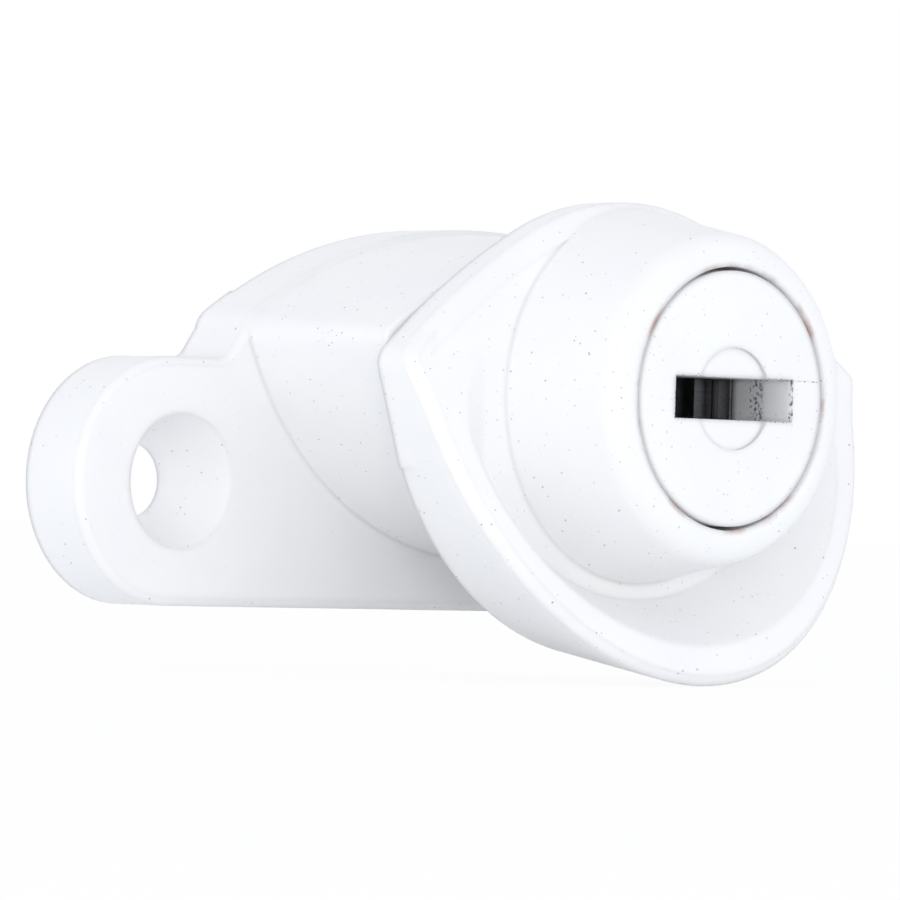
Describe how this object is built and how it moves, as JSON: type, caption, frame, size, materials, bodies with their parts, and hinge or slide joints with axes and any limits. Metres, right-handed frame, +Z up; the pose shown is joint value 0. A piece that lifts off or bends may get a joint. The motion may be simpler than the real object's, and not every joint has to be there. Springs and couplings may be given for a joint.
{
  "type": "sliding patio door lock",
  "caption": "Push lock for a sliding patio door: a keyed cylinder in a dished finger cap drives a round bolt out of the back of a screw-on housing.",
  "frame": {"origin": "midway between the two screw holes, on the mounting face at the back", "axes": "+X to the right seen from the key side, +Y from the key side into the door, +Z up"},
  "size_m": [0.0662, 0.0382, 0.0298],
  "materials": {
    "enamel": "gloss",
    "zinc_plate": "satin",
    "zinc_cast": "satin",
    "steel": "satin",
    "nylon": "matte",
    "brass": "satin"
  },
  "bodies": {
    "base": {"base_housing": "enamel", "back_cover": "zinc_plate", "cover_screws": "zinc_plate", "bolt_bush": "nylon", "friction_ring": "nylon", "stop_pin": "steel"},
    "plunger": {"plunger_cap": "enamel", "cylinder_shell": "zinc_cast", "bolt": "steel", "bolt_cross_pin": "steel"},
    "plug": {"key_plug": "enamel", "retaining_clip": "steel", "wafer_spring_1": "steel", "wafer_spring_2": "steel", "wafer_spring_3": "steel", "wafer_spring_4": "steel", "wafer_spring_5": "steel"},
    "latch": {"locking_latch": "steel"},
    "wafer_1_body": {"wafer_1": "brass"},
    "wafer_2_body": {"wafer_2": "brass"},
    "wafer_3_body": {"wafer_3": "brass"},
    "wafer_4_body": {"wafer_4": "brass"},
    "wafer_5_body": {"wafer_5": "brass"}
  },
  "joints": [
    {"name": "plunger_slide", "type": "slide", "parent": "base", "child": "plunger", "axis": [0, -1, 0], "range_m": [0, 0.011]},
    {"name": "key_turn", "type": "hinge", "parent": "plunger", "child": "plug", "pos_m": [0, -0.0275, 0.006], "axis": [0, 1, 0], "range_deg": [0, 90]},
    {"name": "latch_slide", "type": "slide", "parent": "plunger", "child": "latch", "axis": [1, 0, 0], "range_m": [0, 0.0018]},
    {"name": "wafer_1_slide", "type": "slide", "parent": "plug", "child": "wafer_1_body", "axis": [-1, 0, 0], "range_m": [0, 0.0005]},
    {"name": "wafer_2_slide", "type": "slide", "parent": "plug", "child": "wafer_2_body", "axis": [-1, 0, 0], "range_m": [0, 0.0005]},
    {"name": "wafer_3_slide", "type": "slide", "parent": "plug", "child": "wafer_3_body", "axis": [-1, 0, 0], "range_m": [0, 0.0005]},
    {"name": "wafer_4_slide", "type": "slide", "parent": "plug", "child": "wafer_4_body", "axis": [-1, 0, 0], "range_m": [0, 0.0005]},
    {"name": "wafer_5_slide", "type": "slide", "parent": "plug", "child": "wafer_5_body", "axis": [-1, 0, 0], "range_m": [0, 0.0005]}
  ],
  "couplings": [
    {"joint": "latch_slide", "follows": "key_turn", "m_per_rad": 0.0011459},
    {"joint": "wafer_2_slide", "follows": "wafer_1_slide", "ratio": 1},
    {"joint": "wafer_3_slide", "follows": "wafer_1_slide", "ratio": 1},
    {"joint": "wafer_4_slide", "follows": "wafer_1_slide", "ratio": 1},
    {"joint": "wafer_5_slide", "follows": "wafer_1_slide", "ratio": 1}
  ]
}
